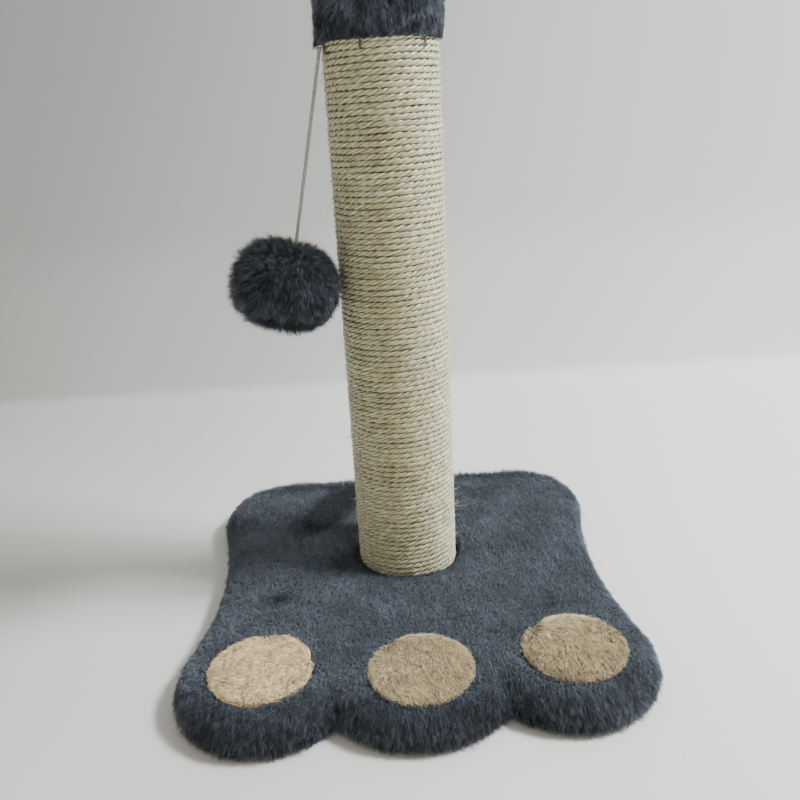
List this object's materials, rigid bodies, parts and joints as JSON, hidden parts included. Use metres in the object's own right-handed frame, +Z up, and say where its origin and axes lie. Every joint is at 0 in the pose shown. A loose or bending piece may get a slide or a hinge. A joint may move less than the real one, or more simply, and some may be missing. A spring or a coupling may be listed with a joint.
{
  "type": "cat tree",
  "caption": "Small cat scratching post: a paw-shaped plush base with toe pads, an upright sisal-wound post, a plush cap and a plush ball on an elastic cord.",
  "frame": {"origin": "middle of the base's outline, on the floor", "axes": "+Z up along the post, -Y to the front where the toes are, +X to the right seen from the front"},
  "size_m": [0.291, 0.306, 0.401],
  "materials": {
    "board_wood": "raw chipboard",
    "plush_blue": "slate-blue plush pile",
    "backing_felt": "thin needled felt",
    "staple_steel": "grey staple wire",
    "plush_cream": "cream plush pile",
    "tube_card": "wound brown card",
    "plug_wood": "raw fibreboard",
    "zinc_steel": "zinc plated",
    "sisal": "natural sisal rope",
    "plush_dark": "slate-blue plush pile",
    "plush_ball": "dark slate plush pile",
    "cord_grey": "light grey elastic cord",
    "fibre_white": "loose polyester fibre",
    "thread_dark": "sewing thread"
  },
  "bodies": {
    "post_and_base": {"base_board": "board_wood", "base_cover": "plush_blue", "base_backing": "backing_felt", "underside_staples": "staple_steel", "toe_pad_left": "plush_cream", "toe_pad_middle": "plush_cream", "toe_pad_right": "plush_cream", "post_tube": "tube_card", "bottom_plug": "plug_wood", "tee_nut": "zinc_steel", "post_bolt": "zinc_steel", "bolt_washer": "zinc_steel", "sisal_rope": "sisal", "rope_staples": "staple_steel", "top_plug": "plug_wood", "collar_band": "plush_dark", "cap_cover": "plush_dark", "cord_tail": "cord_grey", "cord_staple": "staple_steel"},
    "upper_knot": {"cord_top_knot": "cord_grey"},
    "cord": {"toy_cord": "cord_grey"},
    "lower_knot": {"cord_end_knot": "cord_grey"},
    "ball": {"ball_cover": "plush_ball", "ball_filling": "fibre_white", "gather_thread": "thread_dark"}
  },
  "joints": [
    {"name": "toy_sideways_swing", "type": "hinge", "parent": "post_and_base", "child": "upper_knot", "pos_m": [-0.0353, 0.0142, 0.3586], "axis": [-0.9562, -0.2926, 0], "range_deg": [-60, 60]},
    {"name": "toy_outward_swing", "type": "hinge", "parent": "upper_knot", "child": "cord", "pos_m": [-0.0353, 0.0142, 0.3586], "axis": [-0.2926, 0.9562, 0], "range_deg": [0, 70]},
    {"name": "cord_stretch", "type": "slide", "parent": "cord", "child": "lower_knot", "axis": [-0.2079, -0.0635, -0.9761], "range_m": [0, 0.03], "stiffness_N_per_m": 40, "springref_m": -0.003, "deforming": ["toy_cord"]},
    {"name": "ball_twist", "type": "hinge", "parent": "lower_knot", "child": "ball", "pos_m": [-0.0592, 0.0069, 0.2464], "axis": [-0.2796, -0.0855, -0.9563], "range_deg": [-180, 180]}
  ]
}
